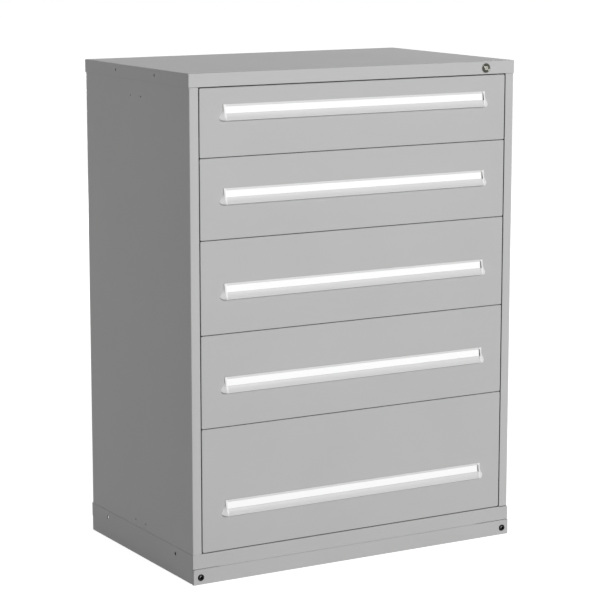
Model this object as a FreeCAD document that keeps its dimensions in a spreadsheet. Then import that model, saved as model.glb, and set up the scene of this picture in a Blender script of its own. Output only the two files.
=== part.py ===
import FreeCAD, Part
import Sketcher
import math
import operator
import os

# Five-drawer modular steel cabinet with full-width label pulls, gang lock and fork-truck base.
# Millimetres, +Z up, drawers open towards -Y. The origin is the bottom centre of the whole
# object's box. Most sub-parts are drawn with y = 0 on the front face of the corner posts.

doc = FreeCAD.newDocument("drawer_cabinet")
sheet = doc.addObject("Spreadsheet::Sheet", "sizes")
V = FreeCAD.Vector


class Size:
    # a number together with the spreadsheet expression that gives it
    def __init__(self, value, text):
        self.value = float(value)
        self.text = text

    def combine(self, other, work, sign, swapped=False):
        other = sized(other)
        first, second = (other, self) if swapped else (self, other)
        return Size(work(first.value, second.value), f"({first.text} {sign} {second.text})")

    def __add__(self, other):
        return self.combine(other, operator.add, "+")

    def __radd__(self, other):
        return self.combine(other, operator.add, "+", True)

    def __sub__(self, other):
        return self.combine(other, operator.sub, "-")

    def __rsub__(self, other):
        return self.combine(other, operator.sub, "-", True)

    def __mul__(self, other):
        return self.combine(other, operator.mul, "*")

    def __rmul__(self, other):
        return self.combine(other, operator.mul, "*", True)

    def __truediv__(self, other):
        return self.combine(other, operator.truediv, "/")

    def __neg__(self):
        return Size(-self.value, f"(0 - {self.text})")


def sized(number):
    if isinstance(number, Size):
        return number
    if number < 0:
        return Size(number, f"(0 - {-number})")
    return Size(number, str(number))


DRIVING = {
    # whole cabinet
    "overall_height": 1524.0,
    "body_width": 1137.6,
    "body_depth": 703.5,
    "sheet": 1.5,            # side, back, floor, cap and drawer front steel
    "sheet_bend": 2.5,       # outside radius of a folded edge
    "cut_over": 1.0,         # how far a cut starts outside the material
    # corner posts and rear flanges of the side panels
    "post_width": 30.0,
    "post_return": 40.0,
    "post_lip": 12.0,
    "rear_flange": 25.0,
    # top cover
    "cap_overhang": 1.6,
    "cap_skirt": 40.0,
    "cap_seam": 0.8,
    "cap_hole_radius": 4.15,
    "cap_hole_spacing": 264.0,
    "cap_hole_drop": 18.7,
    "panel_hole_radius": 2.7,
    "panel_hole_spacing": 70.0,
    "panel_hole_drop": 89.0,
    "panel_hole_rise": 19.7,
    # base with fork openings
    "base_height": 92.3,
    "base_sheet": 3.0,
    "base_overhang": 1.2,
    "base_flange": 40.0,
    "band_step": 2.6,
    "band_height": 43.8,
    "band_round": 2.8,
    "band_lip": 14.0,
    "foot_gap": 1.5,         # between the right post's foot and the band
    "base_hole_radius": 5.25,
    "base_hole_inset": 114.5,
    "base_hole_drop": 22.7,
    "cover_sheet": 2.0,
    "cover_step": 3.7,       # cover's face in front of the band
    "cover_low": 0.8,
    "cover_seam": 1.3,
    "cover_return": 9.4,
    "cover_gap": 1.0,
    "cover_screw_inset": 23.9,
    "cover_screw_height": 22.7,
    "cover_screw_head": 10.2,
    "cover_screw_dome": 5.0,
    "cover_screw_bevel": 3.0,
    "cover_screw_shank": 4.0,
    "cover_screw_end": 3.0,
    "screw_clearance": 0.4,
    "base_notch_depth": 11.0,
    "base_notch_rise": 7.0,
    "tab_low": 14.0,
    "tab_gap": 0.1,
    "tab_reach": 45.0,
    "tab_leg": 25.0,
    # drawer fronts
    "front_1_height": 202.6,
    "front_2_height": 240.3,
    "front_3_height": 279.95,
    "front_4_height": 279.45,
    "front_gap": 1.8,        # between two fronts
    "top_gap": 3.4,          # below the cap
    "bottom_gap": 1.85,      # above the base; the bottom front takes the height that is left
    "side_gap": 2.6,         # between a front and a post
    "front_depth": 18.0,
    "front_corner": 4.5,
    "front_edge": 1.3,
    "front_lip": 30.0,
    # drawer trays
    "tray_sheet": 1.2,
    "tray_depth": 612.0,
    "tray_rise": 8.0,        # tray bottom above the front's lower edge
    "tray_drop": 24.0,       # tray rim below the front's upper edge
    # slides
    "rail_rise": 45.0,       # slide axis above the front's lower edge
    "rail_height": 34.0,
    "rail_sheet": 2.0,
    "drawer_rail_width": 11.0,
    "cabinet_rail_width": 12.8,
    "rail_start": 28.0,
    "rail_length": 602.0,
    "slide_stop": 4.0,
    "slide_gap": 1.0,        # between a channel's mouth and the carriage's web
    "carriage_web": 3.0,
    "carriage_flange": 2.5,
    "carriage_play": 0.4,
    # pulls
    "pull_depth": 16.0,
    "pull_height": 46.4,
    "pull_rise": 150.4,      # pull's top edge above the front's lower edge
    "end_pull_lift": 3.0,    # first and last drawers' pulls sit this much higher
    "pull_inset": 85.2,      # extrusion's end from the front's side edge
    "pull_top": 1.0,
    "pull_wall": 1.9,
    "pull_back": 1.5,
    "pull_back_height": 34.0,
    "label_slope": 0.17,     # outward run of the label face per millimetre of drop
    "label_start": 6.0,
    "label_end": 27.0,
    "label_recess": 0.9,
    "label_thickness": 0.6,
    "label_play": 0.3,
    "label_shift": 2.0,      # labels stand against the left ends of their channels
    "lip_knee": 36.8,
    "lip_radius": 26.0,
    "lip_inner_radius": 20.8,
    "lip_nose": 2.0,
    "lip_tip": 2.5,
    "nose_radius": 0.6,
    # end caps of the pulls
    "cap_proud": 1.5,        # rim in front of the label face
    "cap_front_top": 8.3,
    "cap_front_low": 5.0,
    "cap_flare_start": 8.9,
    "cap_flare_end": 21.5,
    "cap_corner": 8.0,
    "cap_corner_trim": 1.0,
    "cap_groove": 2.6,
    "groove_floor": 0.5,
    # gang lock
    "lock_inset": 104.2,
    "lock_drop": 21.2,
    "lock_face_radius": 14.0,
    "lock_face": 2.5,
    "lock_barrel_radius": 9.5,
    "lock_barrel": 17.0,
    "lock_plug_radius": 6.2,
    "plug_proud": 0.5,
    "plug_over": 0.2,
    "key_slot": 2.0,
    "key_slot_length": 8.0,
    "key_slot_depth": 4.0,
    "lock_play": 0.05,
    "lock_nut_width": 26.0,
    "lock_nut": 4.0,
    "cam_radius": 10.0,
    "cam_sheet": 2.3,
    "cam_pin_radius": 2.0,
    "cam_pin_play": 0.5,
    "bar_sheet": 3.0,
    "bar_start": 20.0,
    "bar_width": 14.0,
    "bar_inset": 8.0,
    "hook_height": 18.0,
    "hook_reach": 12.0,
    "hook_gap": 1.5,
    "hook_rise": 1.5,        # hook above its drawer's slide
    "catch_height": 18.0,
    "catch_sheet": 2.5,
    "catch_arm": 36.0,
    "slot_play": 1.0,
    # header and uprights
    "header_depth": 30.0,
    "upright_depth": 40.0,
    "upright_setback": 30.0,
    "pan_setback": 22.0,
    "pan_clear": 5.0,
}


class Dimensions:
    pass


d = Dimensions()
for row, (alias, number) in enumerate(DRIVING.items(), start=1):
    sheet.set(f"A{row}", alias)
    sheet.set(f"B{row}", str(number))
    sheet.setAlias(f"B{row}", alias)
    setattr(d, alias, Size(number, f"sizes.{alias}"))
doc.recompute()

# ---------------------------------------------------------------- derived places
half = d.body_width / 2
post_inner = half - d.post_width
overall_depth = d.pull_depth + d.body_depth + d.band_step
front_plane = d.pull_depth - overall_depth / 2
cap_bottom = d.overall_height - d.cap_skirt
cap_half = half + d.cap_overhang
cap_back = d.body_depth + d.cap_overhang
base_half = half + d.base_overhang
band_low = d.base_height - d.band_height
cover_high = band_low - d.cover_seam
cover_face = -(d.band_step + d.cover_step)
cover_back = cover_face + d.cover_sheet
cover_end = cover_back + d.cover_return
tab_face = cover_back + d.tab_gap
front_half = post_inner - d.side_gap
over = d.cut_over
bar_outer = post_inner - d.cabinet_rail_width - d.slide_gap
bar_inner = bar_outer - d.carriage_web
drawer_rail_outer = bar_inner - d.slide_gap
tray_half = drawer_rail_outer - d.drawer_rail_width
pull_half = front_half - d.pull_inset
lock_x = half - d.lock_inset
lock_z = d.overall_height - d.lock_drop
cam_drop = d.cam_radius * math.sqrt(0.5)
lock_travel = cam_drop * 2

front_heights = [d.front_1_height, d.front_2_height, d.front_3_height, d.front_4_height]
front_bottoms = []
level = cap_bottom - d.top_gap
for height in front_heights:
    level = level - height
    front_bottoms.append(level)
    level = level - d.front_gap
front_heights.append(level - d.base_height - d.bottom_gap)
front_bottoms.append(d.base_height + d.bottom_gap)

# ---------------------------------------------------------------- drawing tools
parts = []
PLANES = {"XY": ("XY_Plane", 1), "XZ": ("XZ_Plane", -1), "YZ": ("YZ_Plane", 1)}


def bind(thing, path, size):
    thing.setExpression(path, sized(size).text)


def new_body(label, lift=0, forward=True):
    # a sub-part drawn from the posts' front plane, standing at its own height
    body = doc.addObject("PartDesign::Body", label)
    body.Label = label
    if forward:
        bind(body, "Placement.Base.y", front_plane)
    if isinstance(lift, Size):
        bind(body, "Placement.Base.z", lift)
    parts.append(body)
    return body


def new_sketch(body, plane, level=0):
    role, sense = PLANES[plane]
    sketch = body.newObject("Sketcher::SketchObject", body.Name + "_sketch")
    support = [item for item in body.Origin.OriginFeatures if item.Role == role][0]
    sketch.AttachmentSupport = [(support, "")]
    sketch.MapMode = "FlatFace"
    level = sized(level)
    if level.value != 0 or isinstance(level, Size):
        sketch.AttachmentOffset = FreeCAD.Placement(V(0, 0, sense * level.value), FreeCAD.Rotation())
        bind(sketch, "AttachmentOffset.Base.z", level if sense > 0 else -level)
    return sketch


def place(sketch, geometry, point, u, v):
    # ties one point of the sketch to its two coordinates
    for kind, axis, size in (("DistanceX", -2, u), ("DistanceY", -1, v)):
        size = sized(size)
        if size.text in ("0", "0.0"):
            sketch.addConstraint(Sketcher.Constraint("PointOnObject", geometry, point, axis))
        else:
            index = sketch.addConstraint(
                Sketcher.Constraint(kind, -1, 1, geometry, point, size.value))
            bind(sketch, f"Constraints[{index}]", size)


def corner_arc(before, corner, after, radius):
    # tangent points and arc that round one corner of an outline
    back = (before - corner).normalize()
    ahead = (after - corner).normalize()
    turn = back.getAngle(ahead)
    reach = radius / math.tan(turn / 2)
    middle = (back + ahead).normalize()
    centre = corner + middle * (radius / math.sin(turn / 2))
    start = corner + back * reach
    end = corner + ahead * reach
    return start, end, Part.Arc(start, centre - middle * radius, end)


def outline(sketch, corners):
    # closed outline through corners (u, v) or (u, v, radius)
    corners = [tuple(sized(item) for item in corner) for corner in corners]
    spots = [V(corner[0].value, corner[1].value, 0) for corner in corners]
    count = len(corners)
    entries = []
    for i, corner in enumerate(corners):
        if len(corner) == 3:
            start, end, arc = corner_arc(spots[i - 1], spots[i], spots[(i + 1) % count], corner[2].value)
        else:
            start, end, arc = spots[i], spots[i], None
        entries.append((start, end, arc))
    lines = []
    for i in range(count):
        segment = Part.LineSegment(entries[i][1], entries[(i + 1) % count][0])
        lines.append(sketch.addGeometry(segment, False))
    for i, corner in enumerate(corners):
        before, after = lines[i - 1], lines[i]
        start, end, arc = entries[i]
        if arc is None:
            sketch.addConstraint(Sketcher.Constraint("Coincident", before, 2, after, 1))
            place(sketch, after, 1, corner[0], corner[1])
            continue
        bend = sketch.addGeometry(arc, False)
        first = 1 if (sketch.getPoint(bend, 1) - start).Length < (sketch.getPoint(bend, 2) - start).Length else 2
        sketch.addConstraint(Sketcher.Constraint("Tangent", before, 2, bend, first))
        sketch.addConstraint(Sketcher.Constraint("Tangent", bend, 3 - first, after, 1))
        index = sketch.addConstraint(Sketcher.Constraint("Radius", bend, corner[2].value))
        bind(sketch, f"Constraints[{index}]", corner[2])
        mark = sketch.addGeometry(Part.Point(spots[i]), True)
        sketch.addConstraint(Sketcher.Constraint("PointOnObject", mark, 1, before))
        sketch.addConstraint(Sketcher.Constraint("PointOnObject", mark, 1, after))
        place(sketch, mark, 1, corner[0], corner[1])


def circles(sketch, rounds):
    # circles given as (u, v, radius)
    for u, v, radius in rounds:
        u, v, radius = sized(u), sized(v), sized(radius)
        ring = sketch.addGeometry(Part.Circle(V(u.value, v.value, 0), V(0, 0, 1), radius.value), False)
        place(sketch, ring, 3, u, v)
        index = sketch.addConstraint(Sketcher.Constraint("Radius", ring, radius.value))
        bind(sketch, f"Constraints[{index}]", radius)


def drawn(body, plane, level, outlines, rounds=()):
    sketch = new_sketch(body, plane, level)
    for corners in outlines:
        outline(sketch, corners)
    circles(sketch, rounds)
    return sketch


def pad(body, plane, start, end, outlines=(), rounds=()):
    # material from start to end along the axis that the plane leaves out
    sketch = drawn(body, plane, start, outlines, rounds)
    feature = body.newObject("PartDesign::Pad", body.Name + "_pad")
    feature.Profile = sketch
    feature.Reversed = PLANES[plane][1] < 0
    bind(feature, "Length", end - start)
    doc.recompute()
    return feature


def cut(body, plane, start, end, outlines=(), rounds=()):
    # material taken away from start to end along the axis that the plane leaves out
    before = body.Shape.Volume
    sketch = drawn(body, plane, start, outlines, rounds)
    feature = body.newObject("PartDesign::Pocket", body.Name + "_pocket")
    feature.Profile = sketch
    feature.Reversed = PLANES[plane][1] > 0
    bind(feature, "Length", end - start)
    doc.recompute()
    if not body.Shape.Volume < before - 0.01:
        raise RuntimeError(f"{body.Label}: a cut took nothing away")
    return feature


def soften(body, kind, size, chosen):
    # fillet or chamfer on the edges that the test picks, by both end points
    base = body.Tip
    names = []
    for number, edge in enumerate(base.Shape.Edges, start=1):
        ends = [vertex.Point for vertex in edge.Vertexes]
        if ends and chosen(ends[0], ends[-1]):
            names.append(f"Edge{number}")
    feature = body.newObject("PartDesign::" + kind, body.Name + "_" + kind.lower())
    feature.Base = (base, names)
    bind(feature, "Radius" if kind == "Fillet" else "Size", size)
    doc.recompute()
    return feature


def mirror(body, features):
    # adds the same features on the other side of the cabinet's middle plane
    feature = body.newObject("PartDesign::Mirrored", body.Name + "_mirror")
    plane = [item for item in body.Origin.OriginFeatures if item.Role == "YZ_Plane"][0]
    feature.Originals = features
    feature.MirrorPlane = (plane, [""])
    body.Tip = feature
    doc.recompute()
    return feature


def box(u0, u1, v0, v1, radius=None):
    corners = [(u0, v0), (u1, v0), (u1, v1), (u0, v1)]
    if radius is None:
        return corners
    return [(u, v, radius) for u, v in corners]


def near(first, second):
    return abs(first - sized(second).value) < 0.01


def sided(side, inner, outer):
    # range of x between two distances from the middle plane, on one side of it
    return (-outer, -inner) if side < 0 else (inner, outer)


# ---------------------------------------------------------------- slides' shared places
rail_reach = d.rail_height / 2
rail_clear = rail_reach - d.rail_sheet
cabinet_rail_inner = post_inner - d.cabinet_rail_width
rail_end = d.rail_start + d.rail_length
tray_start = d.front_depth
tray_end = tray_start + d.tray_depth
rail_levels = [bottom + d.rail_rise for bottom in front_bottoms]
hook_level = d.rail_rise + rail_reach + d.hook_rise
catch_level = hook_level + d.hook_height + d.hook_gap
hook_levels = [bottom + hook_level for bottom in front_bottoms]


# ---------------------------------------------------------------- cabinet body
def side_panel(label, side):
    body = new_body(label, d.base_height)
    t, r = d.sheet, d.sheet_bend
    top = d.overall_height - d.sheet - d.base_height
    out = side * half
    pad(body, "XY", 0, top, [[
        (side * (half - d.rear_flange), d.body_depth),
        (out, d.body_depth, r),
        (out, 0, r),
        (side * post_inner, 0, r),
        (side * post_inner, d.post_return, r),
        (side * (post_inner + d.post_lip), d.post_return),
        (side * (post_inner + d.post_lip), d.post_return - t),
        (side * (post_inner + t), d.post_return - t),
        (side * (post_inner + t), t),
        (side * (half - t), t),
        (side * (half - t), d.body_depth - t),
        (side * (half - d.rear_flange), d.body_depth - t),
    ]])
    # room for the cover's front skirt, which closes the posts at the top
    skirt = cap_bottom - d.cap_seam - d.base_height
    reach = d.sheet + d.cap_seam
    low, high = sided(side, post_inner - over, half + over)
    cut(body, "YZ", low, high, [box(-over, reach, skirt, top + over)])
    middle = d.body_depth / 2
    spread = d.cap_hole_spacing / 2
    high = d.overall_height - d.cap_hole_drop - d.base_height
    small = d.panel_hole_spacing / 2
    low, high = sided(side, half - t - over, half + over)
    cut(body, "YZ", low, high, rounds=[
        (middle - spread, high, d.cap_hole_radius),
        (middle + spread, high, d.cap_hole_radius),
        (middle - small, d.overall_height - d.panel_hole_drop - d.base_height, d.panel_hole_radius),
        (middle + small, d.overall_height - d.panel_hole_drop - d.base_height, d.panel_hole_radius),
        (middle - small, d.panel_hole_rise, d.panel_hole_radius),
        (middle + small, d.panel_hole_rise, d.panel_hole_radius),
    ])
    return body


side_panel("side_panel_left", -1)
right_panel = side_panel("side_panel_right", 1)
# slots where the lock bar's hooks and its top arm come through the right post
slots = []
for hook in hook_levels:
    slots.append(box(d.bar_start - d.slot_play, d.bar_start + d.bar_sheet + d.slot_play,
                     hook - d.base_height,
                     hook + d.hook_height + lock_travel + d.slot_play - d.base_height))
arm_low = lock_z - cam_drop - d.bar_width / 2
slots.append(box(d.bar_start - d.slot_play, d.bar_start + d.bar_sheet + d.slot_play,
                 arm_low - d.slot_play - d.base_height,
                 arm_low + d.bar_width + lock_travel + d.slot_play - d.base_height))
cut(right_panel, "YZ", post_inner - over, post_inner + d.sheet + over, slots)

back_panel = new_body("back_panel", d.base_height)
pad(back_panel, "XZ", d.body_depth - d.sheet * 2, d.body_depth - d.sheet,
    [box(-(half - d.sheet), half - d.sheet, 0, d.overall_height - d.sheet - d.base_height)])

top_cover = new_body("top_cover", cap_bottom)
pad(top_cover, "XY", 0, d.cap_skirt, [box(-cap_half, cap_half, 0, cap_back)])
soften(top_cover, "Fillet", d.sheet_bend, lambda a, b: near(a.z, d.cap_skirt) and near(b.z, d.cap_skirt))
cut(top_cover, "XY", 0, d.cap_skirt - d.sheet,
    [box(-(cap_half - d.sheet), cap_half - d.sheet, d.sheet, cap_back - d.sheet)])
cap_middle = d.body_depth / 2
cap_holes = [(cap_middle - d.cap_hole_spacing / 2, d.cap_skirt - d.cap_hole_drop, d.cap_hole_radius),
             (cap_middle + d.cap_hole_spacing / 2, d.cap_skirt - d.cap_hole_drop, d.cap_hole_radius)]
cut(top_cover, "YZ", -(cap_half + over), cap_half + over, rounds=cap_holes)
lock_bore = d.lock_barrel_radius + d.screw_clearance / 2
cut(top_cover, "XZ", -over, d.sheet + over, rounds=[(lock_x, d.cap_skirt - d.lock_drop, lock_bore)])

floor_pan = new_body("floor_pan", d.base_height)
pan_back = d.body_depth - d.sheet * 2
pan_notch = d.post_return + d.pan_clear
pad(floor_pan, "XY", 0, d.sheet, [[
    (-post_inner, d.pan_setback),
    (post_inner, d.pan_setback),
    (post_inner, pan_notch),
    (half - d.sheet, pan_notch),
    (half - d.sheet, pan_back),
    (-(half - d.sheet), pan_back),
    (-(half - d.sheet), pan_notch),
    (-post_inner, pan_notch),
]])

top_front_rail = new_body("top_front_rail", cap_bottom)
pad(top_front_rail, "YZ", -post_inner, post_inner, [[
    (d.sheet, d.sheet, d.sheet_bend),
    (d.sheet + d.header_depth, d.sheet),
    (d.sheet + d.header_depth, d.sheet * 2),
    (d.sheet * 2, d.sheet * 2),
    (d.sheet * 2, d.cap_skirt - d.sheet * 2),
    (d.sheet + d.header_depth, d.cap_skirt - d.sheet * 2),
    (d.sheet + d.header_depth, d.cap_skirt - d.sheet),
    (d.sheet, d.cap_skirt - d.sheet, d.sheet_bend),
]])
cut(top_front_rail, "XZ", 0, d.sheet * 2 + over, rounds=[(lock_x, d.cap_skirt - d.lock_drop, lock_bore)])

rear_uprights = new_body("rear_uprights", d.base_height + d.sheet)
upright_end = rail_end - d.upright_setback + d.upright_depth
upright_start = rail_end - d.upright_setback
upright = pad(rear_uprights, "XY", 0, cap_bottom - d.base_height - d.sheet, [[
    (half - d.sheet, upright_start),
    (post_inner, upright_start, d.sheet_bend),
    (post_inner, upright_end, d.sheet_bend),
    (half - d.sheet, upright_end),
    (half - d.sheet, upright_end - d.sheet),
    (post_inner + d.sheet, upright_end - d.sheet),
    (post_inner + d.sheet, upright_start + d.sheet),
    (half - d.sheet, upright_start + d.sheet),
]])
mirror(rear_uprights, [upright])


def channel(web, mouth, middle):
    # C section standing on its web, with both flanges reaching to the mouth
    step = d.rail_sheet if mouth.value > web.value else -d.rail_sheet
    return [
        (web, middle - rail_reach),
        (mouth, middle - rail_reach),
        (mouth, middle - rail_clear),
        (web + step, middle - rail_clear),
        (web + step, middle + rail_clear),
        (mouth, middle + rail_clear),
        (mouth, middle + rail_reach),
        (web, middle + rail_reach),
    ]


cabinet_rails = new_body("cabinet_rails")
pad(cabinet_rails, "XZ", d.rail_start, rail_end,
    [channel(side * post_inner, side * cabinet_rail_inner, level) for side in (-1, 1) for level in rail_levels])


# ---------------------------------------------------------------- base
def base_side(label, side):
    body = new_body(label)
    t = d.base_sheet
    start = -d.band_step + t
    end = d.body_depth + d.band_step - t
    pad(body, "XZ", start, end, [[
        (side * base_half, 0, t),
        (side * (base_half - d.base_flange), 0),
        (side * (base_half - d.base_flange), t),
        (side * (base_half - t), t),
        (side * (base_half - t), d.base_height - t),
        (side * (base_half - d.base_flange), d.base_height - t),
        (side * (base_half - d.base_flange), d.base_height),
        (side * base_half, d.base_height, t),
    ]])
    low, high = sided(side, base_half - d.base_flange - over, base_half + over)
    # lower front corner, which the removable cover wraps, with its bottom relief
    behind_cover = cover_end + d.cover_gap
    cut(body, "YZ", low, high, [[
        (start - over, -over),
        (behind_cover + d.base_notch_depth, -over),
        (behind_cover, d.base_notch_rise),
        (behind_cover, band_low),
        (start - over, band_low),
    ]])
    if side > 0:
        cut(body, "YZ", low, high, [
            box(start - over, d.sheet_bend, d.base_height - d.foot_gap, d.base_height + over)])
    # angle that takes the cover's screw
    pad(body, "XY", d.tab_low, band_low - t, [[
        (side * (base_half - t), tab_face + d.tab_leg),
        (side * (base_half - t), tab_face),
        (side * (base_half - d.tab_reach), tab_face),
        (side * (base_half - d.tab_reach), tab_face + t),
        (side * (base_half - t * 2), tab_face + t),
        (side * (base_half - t * 2), tab_face + d.tab_leg),
    ]])
    cut(body, "XZ", tab_face - over, tab_face + t + over, rounds=[
        (side * (base_half - d.cover_screw_inset), d.cover_screw_height,
         d.cover_screw_shank + d.screw_clearance)])
    low, high = sided(side, base_half - t - over, base_half + over)
    hole_level = d.base_height - d.base_hole_drop
    cut(body, "YZ", low, high, rounds=[
        (d.base_hole_inset, hole_level, d.base_hole_radius),
        (d.body_depth - d.base_hole_inset, hole_level, d.base_hole_radius)])
    return body


base_side("base_side_left", -1)
base_side("base_side_right", 1)


def base_rail(label, front):
    # raised band across the base with a fork opening below it
    body = new_body(label)
    t = d.base_sheet
    flange_half = base_half - d.base_flange
    face = -d.band_step if front else d.body_depth + d.band_step
    into = t if front else -t
    flange = face + into + (d.base_flange if front else -d.base_flange)
    lip = face + into + (d.band_lip if front else -d.band_lip)
    web = (face, face + into) if front else (face + into, face)
    pad(body, "XZ", web[0], web[1], [box(-base_half, base_half, band_low, d.base_height)])
    outer = sized(face).value
    soften(body, "Fillet", d.band_round, lambda a, b: near(a.y, outer) and near(b.y, outer)
           and near(a.z, d.base_height) and near(b.z, d.base_height))
    ends = (face + into, flange) if front else (flange, face + into)
    pad(body, "XZ", ends[0], ends[1], [box(-flange_half, flange_half, d.base_height - t, d.base_height)])
    ends = (face + into, lip) if front else (lip, face + into)
    pad(body, "XZ", ends[0], ends[1], [box(-flange_half, flange_half, band_low, band_low + t)])
    if front:
        cut(body, "XZ", face - over, face + t + over, [
            box(post_inner, base_half + over, d.base_height - d.foot_gap, d.base_height + over)])
    return body


base_rail("base_front_rail", True)
base_rail("base_rear_rail", False)

cover = new_body("base_front_cover")
pad(cover, "XY", d.cover_low, cover_high, [[
    (-base_half, cover_end),
    (-base_half, cover_face, d.sheet),
    (base_half, cover_face, d.sheet),
    (base_half, cover_end),
    (base_half - d.cover_sheet, cover_end),
    (base_half - d.cover_sheet, cover_back),
    (-(base_half - d.cover_sheet), cover_back),
    (-(base_half - d.cover_sheet), cover_end),
]])
screw_spots = [(-(base_half - d.cover_screw_inset), d.cover_screw_height),
               (base_half - d.cover_screw_inset, d.cover_screw_height)]
cut(cover, "XZ", cover_face - over, cover_back + over,
    rounds=[(x, z, d.cover_screw_shank + d.screw_clearance) for x, z in screw_spots])

screws = new_body("cover_screws")
shank_end = tab_face + d.base_sheet + d.cover_screw_end
pad(screws, "XZ", cover_face, shank_end, rounds=[(x, z, d.cover_screw_shank) for x, z in screw_spots])
pad(screws, "XZ", cover_face - d.cover_screw_dome, cover_face,
    rounds=[(x, z, d.cover_screw_head) for x, z in screw_spots])
dome_front = (cover_face - d.cover_screw_dome).value
soften(screws, "Chamfer", d.cover_screw_bevel, lambda a, b: near(a.y, dome_front) and near(b.y, dome_front))

# ---------------------------------------------------------------- gang lock
housing = new_body("lock_housing", lock_z)
pad(housing, "XZ", -d.lock_face, 0, rounds=[(lock_x, 0, d.lock_face_radius)])
pad(housing, "XZ", 0, d.lock_barrel, rounds=[(lock_x, 0, d.lock_barrel_radius)])
cut(housing, "XZ", -d.lock_face - over, d.lock_barrel + over,
    rounds=[(lock_x, 0, d.lock_plug_radius + d.lock_play)])

nut = new_body("lock_nut", lock_z)
nut_radius = d.lock_nut_width / math.sqrt(3)
hexagon = []
for corner in range(6):
    turn = math.radians(60 * corner)
    hexagon.append((lock_x + nut_radius * round(math.cos(turn), 6), nut_radius * round(math.sin(turn), 6)))
pad(nut, "XZ", d.sheet * 2, d.sheet * 2 + d.lock_nut, [hexagon],
    [(lock_x, 0, d.lock_barrel_radius + d.lock_play)])

plug = new_body("lock_plug", lock_z)
plug_front = -d.lock_face - d.plug_proud
plug_end = d.lock_barrel + d.plug_over
pad(plug, "XZ", plug_front, plug_end, rounds=[(lock_x, 0, d.lock_plug_radius)])
# the key slot stands at 45 degrees
long_share = (d.key_slot_length + d.key_slot) / 2 * math.sqrt(0.5)
short_share = (d.key_slot_length - d.key_slot) / 2 * math.sqrt(0.5)
cut(plug, "XZ", plug_front - over, plug_front + d.key_slot_depth, [[
    (lock_x + short_share, long_share),
    (lock_x - long_share, -short_share),
    (lock_x - short_share, -long_share),
    (lock_x + long_share, short_share),
]])

cam = new_body("lock_cam", lock_z)
pin_x = lock_x + cam_drop
pin_z = -cam_drop
ear = d.cam_pin_radius * 2
shift = ear * math.sqrt(0.5)
pad(cam, "XZ", plug_end, plug_end + d.cam_sheet, [[
    (lock_x - shift * 2, 0),
    (lock_x, shift * 2),
    (pin_x + shift * 2, pin_z),
    (pin_x, pin_z - shift * 2),
]])
pad(cam, "XZ", plug_end + d.cam_sheet, d.bar_start + d.bar_sheet + over, rounds=[(pin_x, pin_z, d.cam_pin_radius)])

bar = new_body("lock_bar")
bar_edge = half - d.bar_inset
bar_side = bar_edge - d.bar_width
arm_high = arm_low + d.bar_width
pad(bar, "XZ", d.bar_start, d.bar_start + d.bar_sheet, [box(bar_side, bar_edge, hook_levels[-1], arm_high)])

# hooks and drive arm, welded to the bar's edge
lugs = new_body("lock_bar_lugs")
hook_end = post_inner - d.hook_reach
arm_end = lock_x + d.cam_pin_radius
pad(lugs, "XZ", d.bar_start, d.bar_start + d.bar_sheet,
    [box(hook_end, bar_side, hook, hook + d.hook_height) for hook in hook_levels]
    + [box(arm_end, bar_side, arm_low, arm_high)])
pin_room = d.cam_pin_radius + d.cam_pin_play
cut(lugs, "XZ", d.bar_start - over, d.bar_start + d.bar_sheet + over,
    [box(pin_x - pin_room, lock_x + d.cam_radius + pin_room, lock_z - cam_drop - pin_room,
         lock_z - cam_drop + pin_room)])


# ---------------------------------------------------------------- drawers
def label_out(drop):
    # how far the pull's label face stands out at a drop below its top edge
    return d.pull_top + d.label_slope * drop


def drawer_front(number, height, bottom):
    body = new_body(f"drawer_{number}_front", bottom)
    t = d.sheet
    pad(body, "XZ", 0, d.front_depth, [box(-front_half, front_half, 0, height, d.front_corner)])
    soften(body, "Chamfer", d.front_edge, lambda a, b: near(a.y, 0) and near(b.y, 0))
    cut(body, "XZ", t, d.front_depth - t, [box(-(front_half - t), front_half - t, t, height - t)])
    cut(body, "XZ", d.front_depth - t - over, d.front_depth + over, [
        box(-(front_half - d.front_lip), front_half - d.front_lip, d.front_lip, height - d.front_lip)])
    return body


def drawer_tray(number, height, bottom):
    body = new_body(f"drawer_{number}_tray", bottom)
    t = d.tray_sheet
    top = height - d.tray_drop
    pad(body, "XY", d.tray_rise, top, [box(-tray_half, tray_half, tray_start, tray_end)])
    cut(body, "XY", d.tray_rise + t, top + over, [
        box(-(tray_half - t), tray_half - t, tray_start + t, tray_end - t)])
    return body


def drawer_handle(number, level):
    body = new_body(f"drawer_{number}_handle", level)
    rim, foot = d.label_start, d.label_end
    knee_out = label_out(d.lip_knee)
    web = foot + d.pull_wall
    pad(body, "YZ", -pull_half, pull_half, [[
        (0, 0),
        (-d.pull_top, 0),
        (-label_out(rim), -rim),
        (d.label_recess - label_out(rim), -rim),
        (d.label_recess - label_out(foot), -foot),
        (-label_out(foot), -foot),
        (-knee_out, -d.lip_knee, d.lip_radius),
        (-d.pull_depth, d.lip_nose - d.pull_height, d.nose_radius),
        (-d.pull_depth, -d.pull_height, d.nose_radius),
        (d.lip_tip - d.pull_depth, -d.pull_height),
        (d.pull_wall - knee_out, -d.lip_knee, d.lip_inner_radius),
        (d.pull_wall - label_out(web), -web),
        (-d.pull_back, -web),
        (-d.pull_back, -d.pull_back_height),
        (0, -d.pull_back_height),
    ]])
    return body


def drawer_label(number, level):
    body = new_body(f"drawer_{number}_label", level)
    top = d.label_start + d.label_play
    low = d.label_end - d.label_play
    back = d.label_recess
    face = d.label_recess - d.label_thickness
    pad(body, "YZ", -(pull_half + d.label_shift), pull_half - d.label_shift, [[
        (back - label_out(top), -top),
        (face - label_out(top), -top),
        (face - label_out(low), -low),
        (back - label_out(low), -low),
    ]])
    return body


# how an end cap's flank flares on its way down: share of its height, share of the flare
flank_steps = [(0, 0), (0.36, 0.02), (0.6, 0.45), (0.84, 0.95), (1, 1)]


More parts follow.
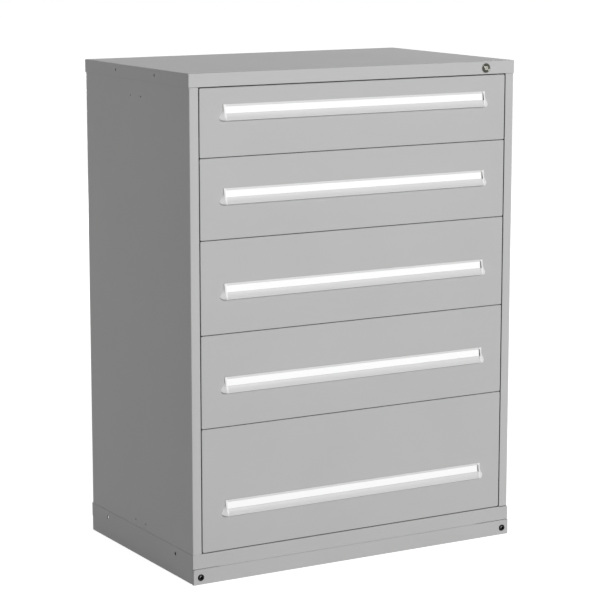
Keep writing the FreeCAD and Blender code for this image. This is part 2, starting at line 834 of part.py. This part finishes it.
def drawer_end_caps(number, level):
    body = new_body(f"drawer_{number}_end_caps", level)
    inner = pull_half
    flare = d.cap_flare_end - d.cap_flare_start
    rim_end = label_out(d.lip_knee) + d.cap_proud
    sections = []
    for share, flank in flank_steps:
        drop = d.pull_height * share
        width = d.cap_flare_start + flare * flank
        front = d.cap_front_top + (d.cap_front_low - d.cap_front_top) * share
        out = label_out(drop) + d.cap_proud
        if drop.value > d.lip_knee.value:
            # along the lip the rim closes up to the extrusion's nose
            out = rim_end + (d.pull_depth - rim_end) * (drop - d.lip_knee) / (d.pull_height - d.lip_knee)
        sections.append(drawn(body, "XY", -drop, [[
            (inner, 0),
            (inner, -out),
            (inner + front, -out),
            (inner + width, 0),
        ]]))
    loft = body.newObject("PartDesign::AdditiveLoft", body.Name + "_loft")
    loft.Profile = sections[0]
    loft.Sections = sections[1:]
    loft.Ruled = True
    doc.recompute()
    # rounded lower corner
    reach = inner + d.cap_flare_end - d.cap_corner_trim
    foot = inner + d.cap_front_low
    start = d.cap_corner + d.cap_corner_trim - d.pull_height
    corner = cut(body, "XZ", -(d.pull_depth + over), over, [[
        (reach, start),
        (reach, -d.pull_height, d.cap_corner),
        (foot, -d.pull_height),
        (foot, -(d.pull_height + over)),
        (reach + d.cap_corner, -(d.pull_height + over)),
        (reach + d.cap_corner, start),
    ]])
    # groove at the end of the label
    top, low = d.label_start, d.label_end
    face = d.cap_proud + over
    groove = cut(body, "YZ", inner, inner + d.cap_groove, [[
        (-d.groove_floor, -top),
        (-(label_out(top) + face), -top),
        (-(label_out(low) + face), -low),
        (-d.groove_floor, -low),
    ]])
    mirror(body, [loft, corner, groove])
    return body


def drawer_rails(number, bottom):
    body = new_body(f"drawer_{number}_rails", bottom)
    rail = pad(body, "XZ", d.rail_start, rail_end - d.slide_stop,
               [channel(tray_half, drawer_rail_outer, d.rail_rise)])
    mirror(body, [rail])
    return body


def drawer_catch(number, bottom):
    body = new_body(f"drawer_{number}_catch", bottom)
    start = d.bar_start + d.bar_sheet + d.hook_gap
    t = d.catch_sheet
    pad(body, "XY", catch_level, catch_level + d.catch_height, [[
        (tray_half, start + d.catch_arm),
        (tray_half, start),
        (post_inner - d.side_gap, start),
        (post_inner - d.side_gap, start + t),
        (tray_half + t, start + t),
        (tray_half + t, start + d.catch_arm),
    ]])
    return body


def carriage(number, bottom):
    # I section that runs in both channels of its side
    body = new_body(f"carriage_{number}", bottom)
    reach = rail_clear - d.carriage_play
    inner = tray_half + d.rail_sheet + d.carriage_play
    outer = post_inner - d.rail_sheet - d.carriage_play
    low, high = d.rail_rise - reach, d.rail_rise + reach
    section = pad(body, "XZ", d.rail_start + d.slide_stop, rail_end - d.slide_stop * 2, [[
        (inner, low),
        (outer, low),
        (outer, low + d.carriage_flange),
        (bar_outer, low + d.carriage_flange),
        (bar_outer, high - d.carriage_flange),
        (outer, high - d.carriage_flange),
        (outer, high),
        (inner, high),
        (inner, high - d.carriage_flange),
        (bar_inner, high - d.carriage_flange),
        (bar_inner, low + d.carriage_flange),
        (inner, low + d.carriage_flange),
    ]])
    mirror(body, [section])
    return body


drawer_count = len(front_heights)
for number, (height, bottom) in enumerate(zip(front_heights, front_bottoms), start=1):
    pull_level = bottom + d.pull_rise
    if number in (1, drawer_count):
        pull_level = pull_level + d.end_pull_lift
    drawer_front(number, height, bottom)
    drawer_tray(number, height, bottom)
    drawer_handle(number, pull_level)
    drawer_label(number, pull_level)
    drawer_end_caps(number, pull_level)
    drawer_rails(number, bottom)
    drawer_catch(number, bottom)
    carriage(number, bottom)

# ---------------------------------------------------------------- checks and export
doc.recompute()
for item in doc.Objects:
    if "Invalid" in item.State or "Error" in item.State:
        raise RuntimeError(f"{item.Label} did not compute: {item.State}")
for body in parts:
    if body.Shape.isNull() or not body.Shape.isValid():
        raise RuntimeError(f"{body.Label} has no valid shape")

os.makedirs("parts", exist_ok=True)
for body in parts:
    body.Shape.exportStep(f"parts/{body.Label}.step")
    bounds = body.Shape.BoundBox
    print(f"{body.Label}: {len(body.Shape.Solids)} solids, {body.Shape.Volume / 1000:.1f} cm3, "
          f"x {bounds.XMin:.1f}..{bounds.XMax:.1f} y {bounds.YMin:.1f}..{bounds.YMax:.1f} "
          f"z {bounds.ZMin:.1f}..{bounds.ZMax:.1f}")
print(len(parts), "sub-parts")
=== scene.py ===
import bpy
import bmesh
import math
from mathutils import Matrix, Vector


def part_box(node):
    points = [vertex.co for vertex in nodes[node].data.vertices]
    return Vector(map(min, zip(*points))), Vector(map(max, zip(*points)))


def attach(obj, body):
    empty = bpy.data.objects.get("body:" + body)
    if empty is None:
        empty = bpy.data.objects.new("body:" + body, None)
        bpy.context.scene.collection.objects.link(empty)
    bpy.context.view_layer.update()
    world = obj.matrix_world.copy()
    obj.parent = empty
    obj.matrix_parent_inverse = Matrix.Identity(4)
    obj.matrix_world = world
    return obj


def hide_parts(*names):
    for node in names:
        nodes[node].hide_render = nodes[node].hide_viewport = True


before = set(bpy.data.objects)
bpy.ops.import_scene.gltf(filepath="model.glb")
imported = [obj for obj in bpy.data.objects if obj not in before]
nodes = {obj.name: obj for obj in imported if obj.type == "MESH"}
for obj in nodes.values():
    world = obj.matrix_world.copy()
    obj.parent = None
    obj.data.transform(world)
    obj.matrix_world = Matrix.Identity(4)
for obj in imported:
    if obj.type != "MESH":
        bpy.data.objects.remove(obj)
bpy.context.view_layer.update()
scene = bpy.context.scene
mm = 0.001
print("frame loaded:", len(nodes), "nodes")


# camera
cameraSetup = {
    "place": (-3.5594, -6.1437, 2.0160),
    "turn": (79.986, 0.0, -30.08),   # degrees
    "lens": 136.05,
    "sensor": 36.0,
    "reach": 100.0,
}
cameraData = bpy.data.cameras.new("camera")
cameraData.lens = cameraSetup["lens"]
cameraData.sensor_width = cameraSetup["sensor"]
cameraData.clip_end = cameraSetup["reach"]
camera = bpy.data.objects.new("camera", cameraData)
camera.location = cameraSetup["place"]
camera.rotation_euler = [math.radians(angle) for angle in cameraSetup["turn"]]
scene.collection.objects.link(camera)
scene.camera = camera
scene.view_settings.view_transform = "Standard"


# light: a broad soft box in front, weaker ones above and round the other sides, and a dim plain world
pureWhite = (1, 1, 1, 1)


def srgb(code):
    values = []
    for i in (0, 2, 4):
        part = int(code[i:i + 2], 16) / 255
        values.append(part / 12.92 if part <= 0.04045 else ((part + 0.055) / 1.055) ** 2.4)
    return (*values, 1.0)


def addNode(tree, kind, settings=None, links=None):
    node = tree.nodes.new(kind)
    for name, value in (settings or {}).items():
        if isinstance(name, int) or name in node.inputs:
            node.inputs[name].default_value = value
        else:
            setattr(node, name, value)
    for name, source in (links or {}).items():
        tree.links.new(source, node.inputs[name])
    return node


def looking(tree):
    # 1 for rays that look at the backdrop, straight or by a reflection, 0 for light that falls on the object
    path = addNode(tree, "ShaderNodeLightPath")
    near = addNode(tree, "ShaderNodeMath", {"operation": "MAXIMUM"},
                   {0: path.outputs["Is Camera Ray"], 1: path.outputs["Is Glossy Ray"]})
    every = addNode(tree, "ShaderNodeMath", {"operation": "MAXIMUM"},
                    {0: near.outputs[0], 1: path.outputs["Is Transmission Ray"]})
    return every.outputs[0]


softBoxes = [
    {"name": "keyBox", "place": (1.7, -11.5, 4), "aim": (0, -0.3, 0.2), "size": (3, 3), "watts": 1095},
    {"name": "topBox", "place": (2.3, 0.5, 3.2), "aim": (0.6, 0, 1.5), "size": (1.2, 1.2), "watts": 10},
    {"name": "leftBox", "place": (-8, 3, 3.2), "aim": (-0.5, 0, 0.8), "size": (2.4, 2.4), "watts": 112},
    {"name": "rightBox", "place": (8, 2.5, 1.5), "aim": (0.5, 0, 0.8), "size": (3, 3), "watts": 130},
    {"name": "backBox", "place": (1.2, 9.5, 1.4), "aim": (0, 0.3, 0.8), "size": (2.4, 2.4), "watts": 250},
]
for box in softBoxes:
    lamp = bpy.data.lights.new(box["name"], "AREA")
    lamp.shape = "RECTANGLE"
    lamp.size, lamp.size_y = box["size"]
    lamp.energy = box["watts"]
    holder = bpy.data.objects.new(box["name"], lamp)
    holder.location = box["place"]
    aim = Vector(box["aim"]) - Vector(box["place"])
    holder.rotation_euler = aim.to_track_quat("-Z", "Y").to_euler()
    scene.collection.objects.link(holder)

worldSetup = {"plain": 0.12, "white": 1.0}
world = bpy.data.worlds.new("studio")
scene.world = world
world.use_nodes = True
tree = world.node_tree
tree.nodes.clear()
plain = addNode(tree, "ShaderNodeBackground", {"Color": pureWhite, "Strength": worldSetup["plain"]})
white = addNode(tree, "ShaderNodeBackground", {"Color": pureWhite, "Strength": worldSetup["white"]})
mixed = addNode(tree, "ShaderNodeMixShader",
                links={0: looking(tree), 1: plain.outputs[0], 2: white.outputs[0]})
addNode(tree, "ShaderNodeOutputWorld", links={"Surface": mixed.outputs[0]})

# floor: white card that keeps a faint contact shadow, stays dark under the cabinet and glows fully far away
floorSetup = {"half": 30.0, "glow": 0.9, "farGlow": 1.0, "near": 2.0, "far": 6.0, "card": "b4b4b4",
              "dark": (0.535, 0.33)}
mesh = bpy.data.meshes.new("floor")
bm = bmesh.new()
bmesh.ops.create_grid(bm, x_segments=1, y_segments=1, size=floorSetup["half"])
bm.to_mesh(mesh)
bm.free()
floor = bpy.data.objects.new("floor", mesh)
scene.collection.objects.link(floor)
card = bpy.data.materials.new("whiteCard")
card.use_nodes = True
tree = card.node_tree
tree.nodes.clear()
diffuse = addNode(tree, "ShaderNodeBsdfDiffuse", {"Color": srgb(floorSetup["card"])})
place = addNode(tree, "ShaderNodeTexCoord").outputs["Object"]
spot = addNode(tree, "ShaderNodeSeparateXYZ", links={0: place})
outside = []
for axis, reach in enumerate(floorSetup["dark"]):
    away = addNode(tree, "ShaderNodeMath", {"operation": "ABSOLUTE"}, {0: spot.outputs[axis]})
    past = addNode(tree, "ShaderNodeMath", {"operation": "GREATER_THAN", 1: reach}, {0: away.outputs[0]})
    outside.append(past.outputs[0])
shown = addNode(tree, "ShaderNodeMath", {"operation": "MAXIMUM"}, dict(enumerate(outside)))
seen = addNode(tree, "ShaderNodeMath", {"operation": "MULTIPLY"}, {0: shown.outputs[0], 1: looking(tree)})
far = addNode(tree, "ShaderNodeVectorMath", {"operation": "LENGTH"}, {0: place})
strength = addNode(tree, "ShaderNodeMapRange",
                   {"From Min": floorSetup["near"], "From Max": floorSetup["far"],
                    "To Min": floorSetup["glow"], "To Max": floorSetup["farGlow"]},
                   {"Value": far.outputs["Value"]})
level = addNode(tree, "ShaderNodeMath", {"operation": "MULTIPLY"},
                {0: seen.outputs[0], 1: strength.outputs[0]})
glow = addNode(tree, "ShaderNodeEmission", {"Color": pureWhite}, {"Strength": level.outputs[0]})
both = addNode(tree, "ShaderNodeAddShader", links={0: diffuse.outputs[0], 1: glow.outputs[0]})
addNode(tree, "ShaderNodeOutputMaterial", links={"Surface": both.outputs[0]})
mesh.materials.append(card)
print("stage ready")


# materials
noiseSpan = {"From Min": 0.3, "From Max": 0.7}   # where nearly all of a noise texture lies
multiplied = {"data_type": "RGBA", "blend_type": "MULTIPLY", 0: 1.0}   # its colours are inputs 6 and 7
bumpDepth = 0.2 * mm


def newMaterial(name, settings):
    material = bpy.data.materials.new(name)
    material.use_nodes = True
    tree = material.node_tree
    tree.nodes.clear()
    shader = addNode(tree, "ShaderNodeBsdfPrincipled", settings)
    addNode(tree, "ShaderNodeOutputMaterial", links={"Surface": shader.outputs[0]})
    return material, tree, shader


# painted shade in narrow gaps: darkens the colour of what has another face a few millimetres in front of it
paintedSeamShade = {
    "reach": 6.0 * mm,
    "deep": 0.1,
    "usual": (0.05, 0.78),
    "shallow": (0.02, 0.38),
    "heavy": (0.4, 0.95),
}


# painted shade: the base colour is multiplied down where ambient occlusion finds a near face
def paintSeamShade(tree, colour, paintedShadeSpan):
    shut = addNode(tree, "ShaderNodeAmbientOcclusion", {"samples": 8, "Distance": paintedSeamShade["reach"]})
    dark = addNode(tree, "ShaderNodeMapRange",
                   {"From Min": paintedShadeSpan[0], "From Max": paintedShadeSpan[1], "To Min": paintedSeamShade["deep"], "To Max": 1.0},
                   {"Value": shut.outputs["AO"]})
    cover = addNode(tree, "ShaderNodeMix", multiplied, {6: colour, 7: dark.outputs[0]})
    return cover.outputs[2]


# powder coat: baked polyester powder, so a fine orange peel, in mm, slight clouds and an even satin sheen
powder = {"peel": 2.2, "cloudsPerMetre": 3.0, "tone": (0.985, 1.015), "rough": (0.38, 0.46), "bump": 0.08}


# the colour carries painted shade in its narrow gaps
def powderCoat(name, code, paintedShadeSpan=paintedSeamShade["usual"]):
    material, tree, shader = newMaterial(name, {"IOR": 1.5, "Specular IOR Level": 0.2})
    place = addNode(tree, "ShaderNodeTexCoord").outputs["Object"]
    peel = addNode(tree, "ShaderNodeTexNoise", {"Scale": 1000 / powder["peel"], "Detail": 2.0},
                   {"Vector": place})
    cloud = addNode(tree, "ShaderNodeTexNoise", {"Scale": powder["cloudsPerMetre"], "Detail": 3.0},
                    {"Vector": place})
    tone = addNode(tree, "ShaderNodeMapRange",
                   {**noiseSpan, "To Min": powder["tone"][0], "To Max": powder["tone"][1]},
                   {"Value": cloud.outputs[0]})
    shade = addNode(tree, "ShaderNodeMix", {**multiplied, 6: srgb(code)}, {7: tone.outputs[0]})
    tree.links.new(paintSeamShade(tree, shade.outputs[2], paintedShadeSpan), shader.inputs["Base Color"])
    sheen = addNode(tree, "ShaderNodeMapRange",
                    {**noiseSpan, "To Min": powder["rough"][0], "To Max": powder["rough"][1]},
                    {"Value": peel.outputs[0]})
    tree.links.new(sheen.outputs[0], shader.inputs["Roughness"])
    bump = addNode(tree, "ShaderNodeBump", {"Strength": powder["bump"], "Distance": bumpDepth},
                   {"Height": peel.outputs[0]})
    tree.links.new(bump.outputs[0], shader.inputs["Normal"])
    return material


# pull paint: sprayed on an extruded section, so faint draw lines, in mm, show along its length
drawn = {"lines": 1.6, "along": 0.02, "tone": (0.985, 1.01), "rough": (0.31, 0.41), "bump": 0.06}


# the colour carries painted shade in its narrow gaps
def drawnPaint(name, code, paintedShadeSpan=paintedSeamShade["usual"]):
    material, tree, shader = newMaterial(name, {"IOR": 1.5, "Specular IOR Level": 0.4})
    place = addNode(tree, "ShaderNodeTexCoord").outputs["Object"]
    along = addNode(tree, "ShaderNodeMapping", {"Scale": (drawn["along"], 1.0, 1.0)}, {"Vector": place})
    lines = addNode(tree, "ShaderNodeTexNoise", {"Scale": 1000 / drawn["lines"], "Detail": 2.0},
                    {"Vector": along.outputs[0]})
    tone = addNode(tree, "ShaderNodeMapRange",
                   {**noiseSpan, "To Min": drawn["tone"][0], "To Max": drawn["tone"][1]},
                   {"Value": lines.outputs[0]})
    shade = addNode(tree, "ShaderNodeMix", {**multiplied, 6: srgb(code)}, {7: tone.outputs[0]})
    tree.links.new(paintSeamShade(tree, shade.outputs[2], paintedShadeSpan), shader.inputs["Base Color"])
    sheen = addNode(tree, "ShaderNodeMapRange",
                    {**noiseSpan, "To Min": drawn["rough"][0], "To Max": drawn["rough"][1]},
                    {"Value": lines.outputs[0]})
    tree.links.new(sheen.outputs[0], shader.inputs["Roughness"])
    bump = addNode(tree, "ShaderNodeBump", {"Strength": drawn["bump"], "Distance": bumpDepth},
                   {"Height": lines.outputs[0]})
    tree.links.new(bump.outputs[0], shader.inputs["Normal"])
    return material


# card label behind a clear strip: short paper fibres, in mm, under an even gloss
paper = {"fibre": 1.2, "along": 0.4, "tone": (0.98, 1.0), "rough": (0.5, 0.65)}


def cardLabel(name, code):
    material, tree, shader = newMaterial(name, {"IOR": 1.5, "Coat Weight": 0.5, "Coat Roughness": 0.15})
    place = addNode(tree, "ShaderNodeTexCoord").outputs["Object"]
    flat = addNode(tree, "ShaderNodeMapping", {"Scale": (paper["along"], 1.0, 1.0)}, {"Vector": place})
    fibre = addNode(tree, "ShaderNodeTexNoise",
                    {"Scale": 1000 / paper["fibre"], "Detail": 4.0, "Roughness": 0.7},
                    {"Vector": flat.outputs[0]})
    tone = addNode(tree, "ShaderNodeMapRange",
                   {**noiseSpan, "To Min": paper["tone"][0], "To Max": paper["tone"][1]},
                   {"Value": fibre.outputs[0]})
    shade = addNode(tree, "ShaderNodeMix", {**multiplied, 6: srgb(code)}, {7: tone.outputs[0]})
    tree.links.new(shade.outputs[2], shader.inputs["Base Color"])
    sheen = addNode(tree, "ShaderNodeMapRange",
                    {**noiseSpan, "To Min": paper["rough"][0], "To Max": paper["rough"][1]},
                    {"Value": fibre.outputs[0]})
    tree.links.new(sheen.outputs[0], shader.inputs["Roughness"])
    return material


# plated or blackened metal: the finish breaks up into soft patches a few millimetres across
def platedMetal(name, code, roughness, patchMillimetres, spread=0.08, depth=0.04, metallic=1.0, specular=0.5):
    material, tree, shader = newMaterial(name, {"Metallic": metallic, "Specular IOR Level": specular})
    place = addNode(tree, "ShaderNodeTexCoord").outputs["Object"]
    patch = addNode(tree, "ShaderNodeTexNoise",
                    {"Scale": 1000 / patchMillimetres, "Detail": 3.0, "Roughness": 0.6}, {"Vector": place})
    tone = addNode(tree, "ShaderNodeMapRange", {**noiseSpan, "To Min": 1.0 - spread, "To Max": 1.0 + spread},
                   {"Value": patch.outputs[0]})
    shade = addNode(tree, "ShaderNodeMix", {**multiplied, 6: srgb(code)}, {7: tone.outputs[0]})
    tree.links.new(shade.outputs[2], shader.inputs["Base Color"])
    sheen = addNode(tree, "ShaderNodeMapRange",
                    {**noiseSpan, "To Min": roughness - spread / 2, "To Max": roughness + spread / 2},
                    {"Value": patch.outputs[0]})
    tree.links.new(sheen.outputs[0], shader.inputs["Roughness"])
    bump = addNode(tree, "ShaderNodeBump", {"Strength": depth, "Distance": bumpDepth},
                   {"Height": patch.outputs[0]})
    tree.links.new(bump.outputs[0], shader.inputs["Normal"])
    return material


bodyPaint = powderCoat("powderCoatBody", "bdbdbd")
frontPaint = powderCoat("powderCoatFront", "bababa")
basePaint = powderCoat("powderCoatBase", "bababa", paintedShadeSpan=paintedSeamShade["shallow"])
# heavier painted shade in the seams and holes of the cap, the right post and the foot below it
heavyShadePaint = powderCoat("powderCoatHeavyShade", "bdbdbd", paintedShadeSpan=paintedSeamShade["heavy"])
heavyShadeBasePaint = powderCoat("powderCoatBaseHeavyShade", "bababa", paintedShadeSpan=paintedSeamShade["heavy"])
pullPaint = drawnPaint("sprayedExtrusion", "d8d8d8")
# end caps: moulded in a paler plastic than the paint, with the same fine lines along them
mouldedCap = drawnPaint("mouldedEndCap", "e8e8e8")
labelCard = cardLabel("cardLabel", "fcfcfc")
# bright zinc on the slides and the lock's inner parts
zinc = platedMetal("zincPlate", "c2c4c6", 0.38, 6.0)
# the lock: satin chrome collar whose dark colour is a painted dark reflection, and a nickel plug whose pale
# colour is a painted highlight
chrome = platedMetal("satinChromePaintedDark", "4c4c46", 0.22, 4.0, spread=0.06, depth=0.02)
nickel = platedMetal("nickelPaintedHighlight", "b8b8b0", 0.2, 2.5, spread=0.1)
# the cover's screws: black oxide, which is no bare metal, and an arc of bright steel that is a painted
# highlight
blackOxide = platedMetal("blackOxide", "060606", 0.32, 3.0, spread=0.1, depth=0.06,
                         metallic=0.0, specular=0.15)
paintedHighlightSteel = platedMetal("paintedHighlightSteel", "b4b4b4", 0.25, 2.0, spread=0.06, depth=0.02)

finishes = [
    (bodyPaint, ["side_panel_left", "back_panel", "floor_pan", "top_front_rail", "rear_uprights"]),
    (heavyShadePaint, ["side_panel_right", "top_cover"]),
    (basePaint, ["base_side_left", "base_front_rail", "base_rear_rail", "base_front_cover"]),
    (heavyShadeBasePaint, ["base_side_right"]),
    (zinc, ["cabinet_rails", "lock_nut", "lock_cam", "lock_bar", "lock_bar_lugs"]),
]
for n in range(1, 6):
    finishes += [
        (frontPaint, [f"drawer_{n}_front"]),
        (bodyPaint, [f"drawer_{n}_tray"]),
        (pullPaint, [f"drawer_{n}_handle"]),
        (mouldedCap, [f"drawer_{n}_end_caps"]),
        (labelCard, [f"drawer_{n}_label"]),
        (zinc, [f"drawer_{n}_rails", f"drawer_{n}_catch", f"carriage_{n}"]),
    ]
for material, names in finishes:
    for name in names:
        for slot in nodes[name].material_slots:
            slot.material = material
print("materials on")


# turned pieces: a profile of (radius, y) spun about the y axis
def spinProfile(bm, profile, closed, steps):
    path = [bm.verts.new((radius, y, 0.0)) for radius, y in profile]
    following = path[1:] + path[:1] if closed else path[1:]
    edges = [bm.edges.new(pair) for pair in zip(path, following)]
    bmesh.ops.spin(bm, geom=path + edges, cent=(0, 0, 0), axis=(0, 1, 0), angle=math.tau, steps=steps,
                   use_merge=True, use_duplicate=False)


def quarterRound(middle, reach, steps):
    # from the outermost point to the foremost one
    points = []
    for i in range(steps + 1):
        angle = math.pi / 2 * i / steps
        points.append((middle[0] + reach[0] * math.cos(angle), middle[1] + reach[1] * math.sin(angle)))
    return points


# a turned head with a socket
# the profile runs from the axis at the back round to the front rim, and corners is the socket's outline
def turnedHead(bm, profile, corners, turn, depth, steps=48):
    spinProfile(bm, profile, False, steps)
    bmesh.ops.remove_doubles(bm, verts=bm.verts[:], dist=1e-6)
    front = profile[-1][1]
    rim = [edge for edge in bm.edges if edge.is_boundary]
    hole = [bm.verts.new((x, front, z)) for x, z in corners]
    sides = [bm.edges.new((hole[i], hole[(i + 1) % len(hole)])) for i in range(len(hole))]
    bmesh.ops.rotate(bm, verts=hole, cent=(0, 0, 0), matrix=Matrix.Rotation(turn, 3, "Y"))
    bmesh.ops.subdivide_edges(bm, edges=sides, cuts=steps // len(hole) - 1)
    ring = [edge for edge in bm.edges if edge.is_wire]
    bmesh.ops.bridge_loops(bm, edges=rim + ring)
    walls = bmesh.ops.extrude_edge_only(bm, edges=ring)
    deep = [part for part in walls["geom"] if isinstance(part, bmesh.types.BMVert)]
    bmesh.ops.translate(bm, verts=deep, vec=(0, depth, 0))
    bmesh.ops.holes_fill(bm, edges=[edge for edge in bm.edges if edge.is_boundary], sides=0)
    bmesh.ops.recalc_face_normals(bm, faces=bm.faces[:])


def makePiece(name, bm, body, material, *stood):
    mesh = bpy.data.meshes.new(name)
    bm.to_mesh(mesh)
    bm.free()
    piece = bpy.data.objects.new(name, mesh)
    scene.collection.objects.link(piece)
    mesh.materials.append(material)
    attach(piece, body)
    if stood:
        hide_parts(*stood)
    return piece


# button-head socket screws of the base cover: an arc of bright steel on one side of the socket's mouth is a
# painted highlight
coverScrew = {
    "dome": 5.0,   # mm, like what follows
    "side": 1.4,
    "rim": 5.28,
    "shank": 4.0,
    "socket": 8.0,
    "socketDepth": 3.6,
    "socketTurn": 12.0,   # degrees
    "domeSteps": 8,
    "highlightArc": (95.0, 170.0),   # degrees
    "highlightBand": 1.056,
    "highlightDepth": 0.4,
    "flatFacing": 0.999,
    "flatArea": 10.0,   # square mm
}
low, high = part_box("cover_screws")
headRadius = (high[2] - low[2]) / 2
rimRadius = coverScrew["rim"] * mm
shankRadius = coverScrew["shank"] * mm
faceY = low[1]
seatY = faceY + coverScrew["dome"] * mm
wallY = seatY - coverScrew["side"] * mm
socketReach = coverScrew["socket"] * mm / math.sqrt(3)
hexagon = [(socketReach * math.cos(turn), socketReach * math.sin(turn))
           for turn in (math.tau * i / 6 for i in range(6))]
profile = [(0.0, high[1]), (shankRadius, high[1]), (shankRadius, seatY), (headRadius, seatY)]
profile += quarterRound((rimRadius, wallY), (headRadius - rimRadius, faceY - wallY), coverScrew["domeSteps"])
bm = bmesh.new()
for spotX in (low[0] + headRadius, high[0] - headRadius):
    one = bmesh.new()
    turnedHead(one, profile, hexagon, math.radians(coverScrew["socketTurn"]), coverScrew["socketDepth"] * mm)
    bmesh.ops.translate(one, verts=one.verts[:], vec=(spotX, 0, (low[2] + high[2]) / 2))
    spare = bpy.data.meshes.new("spare")
    one.to_mesh(spare)
    one.free()
    bm.from_mesh(spare)
    bpy.data.meshes.remove(spare)
screws = makePiece("coverScrews", bm, "cabinet", blackOxide, "cover_screws")
screws.data.materials.append(paintedHighlightSteel)
for face in screws.data.polygons:
    flat = abs(face.normal.y) >= coverScrew["flatFacing"] or face.area >= coverScrew["flatArea"] * mm * mm
    face.use_smooth = not flat
    spotX = math.copysign(high[0] - headRadius, face.center.x)
    acrossX, acrossZ = face.center.x - spotX, face.center.z - (low[2] + high[2]) / 2
    nearMouth = abs(math.hypot(acrossX, acrossZ) - rimRadius) < coverScrew["highlightBand"] * mm
    atFront = face.center.y < faceY + coverScrew["highlightDepth"] * mm
    onHighlightSide = coverScrew["highlightArc"][0] < math.degrees(math.atan2(acrossZ, acrossX)) < coverScrew["highlightArc"][1]
    # faces in this arc take the bright steel of the painted highlight
    if nearMouth and atFront and onHighlightSide:
        face.material_index = 1
print("cover screws ready")

# flange along the cover's top edge: it closes the seam below the band, less so a hand's width at each end
seamFlange = {
    "leftOpen": 88.0,   # mm, like all the others
    "rightOpen": 125.0,
    "openBy": 0.8,
    "ramp": 3.0,
    "endClear": 6.0,
    "drop": 5.0,
    "clear": 0.05,
    "coverSheet": 2.0,
}
coverLow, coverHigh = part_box("base_front_cover")
bandLow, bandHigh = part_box("base_front_rail")
clear, ramp = seamFlange["clear"] * mm, seamFlange["ramp"] * mm
flangeTop = bandLow[2] - clear
flangeBack, flangeFront = bandLow[1] - clear, coverLow[1] + seamFlange["coverSheet"] * mm + clear
size = (coverHigh[0] - coverLow[0] - seamFlange["endClear"] * 2 * mm, flangeBack - flangeFront,
        flangeTop - coverHigh[2] + seamFlange["drop"] * mm)
bm = bmesh.new()
bmesh.ops.create_cube(bm, size=1.0)
bmesh.ops.scale(bm, verts=bm.verts[:], vec=size)
bmesh.ops.translate(bm, verts=bm.verts[:], vec=(0, (flangeBack + flangeFront) / 2, flangeTop - size[2] / 2))
leftOpen = coverLow[0] + seamFlange["leftOpen"] * mm
rightOpen = coverHigh[0] - seamFlange["rightOpen"] * mm
for across in (leftOpen, leftOpen - ramp, rightOpen, rightOpen + ramp):
    bmesh.ops.bisect_plane(bm, geom=bm.verts[:] + bm.edges[:] + bm.faces[:], plane_co=(across, 0, 0),
                           plane_no=(1, 0, 0))
ends = [vert for vert in bm.verts
        if vert.co.z > coverHigh[2] and not leftOpen - ramp / 2 < vert.co.x < rightOpen + ramp / 2]
bmesh.ops.translate(bm, verts=ends, vec=(0, 0, -seamFlange["openBy"] * mm))
flange = makePiece("coverFlange", bm, "cabinet", basePaint)
print("cover flange ready")

# cylinder lock: chrome collar with a dished face and a low ring round its bore
lockCollar = {
    "thick": 2.5,   # mm, apart from the share and the steps
    "barrelShare": 0.68,
    "edge": 1.0,
    "edgeSteps": 6,
    "flatEnds": 2.6,
    "dishStarts": 3.2,
    "dish": 0.7,
    "ringOuter": 0.8,
    "ringTop": 0.4,
    "ringBack": 0.1,
    "play": 0.05,
    "steps": 64,
}
low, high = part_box("lock_housing")
plugLow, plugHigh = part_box("lock_plug")
middleX, middleZ = (low[0] + high[0]) / 2, (low[2] + high[2]) / 2
collarRadius = (high[0] - low[0]) / 2
barrelRadius = collarRadius * lockCollar["barrelShare"]
plugRadius = (plugHigh[0] - plugLow[0]) / 2
boreRadius = plugRadius + lockCollar["play"] * mm
frontY, seatY = low[1], low[1] + lockCollar["thick"] * mm
edge, dishY = lockCollar["edge"] * mm, frontY + lockCollar["dish"] * mm
profile = [(boreRadius, high[1]), (barrelRadius, high[1]), (barrelRadius, seatY), (collarRadius, seatY)]
profile += quarterRound((collarRadius - edge, frontY + edge), (edge, -edge), lockCollar["edgeSteps"])
profile += [
    (collarRadius - lockCollar["flatEnds"] * mm, frontY),
    (collarRadius - lockCollar["dishStarts"] * mm, dishY),
    (boreRadius + lockCollar["ringOuter"] * mm, dishY),
    (boreRadius + lockCollar["ringTop"] * mm, frontY + lockCollar["ringBack"] * mm),
    (boreRadius, dishY),
]
bm = bmesh.new()
spinProfile(bm, profile, True, lockCollar["steps"])
bmesh.ops.recalc_face_normals(bm, faces=bm.faces[:])
bmesh.ops.translate(bm, verts=bm.verts[:], vec=(middleX, 0, middleZ))
collar = makePiece("lockCollar", bm, "cabinet", chrome, "lock_housing")
collar.data.shade_smooth()

# its plug, which turns, with the key slot, in mm and degrees
lockPlug = {"edge": 0.6, "knee": 0.18, "slot": (8.0, 2.0), "slotTurn": 45.0, "slotDepth": 4.0}
halfLong, halfWide = (size * mm / 2 for size in lockPlug["slot"])
corners = [(halfLong, halfWide), (-halfLong, halfWide), (-halfLong, -halfWide), (halfLong, -halfWide)]
edge, knee = lockPlug["edge"] * mm, lockPlug["knee"] * mm
profile = [(0.0, plugHigh[1]), (plugRadius, plugHigh[1]), (plugRadius, plugLow[1] + edge),
           (plugRadius - knee, plugLow[1] + knee), (plugRadius - edge, plugLow[1])]
bm = bmesh.new()
turnedHead(bm, profile, corners, -math.radians(lockPlug["slotTurn"]), lockPlug["slotDepth"] * mm)
bmesh.ops.translate(bm, verts=bm.verts[:], vec=(middleX, 0, middleZ))
plug = makePiece("lockPlugFace", bm, "lock_plug", nickel, "lock_plug")
print("lock ready")
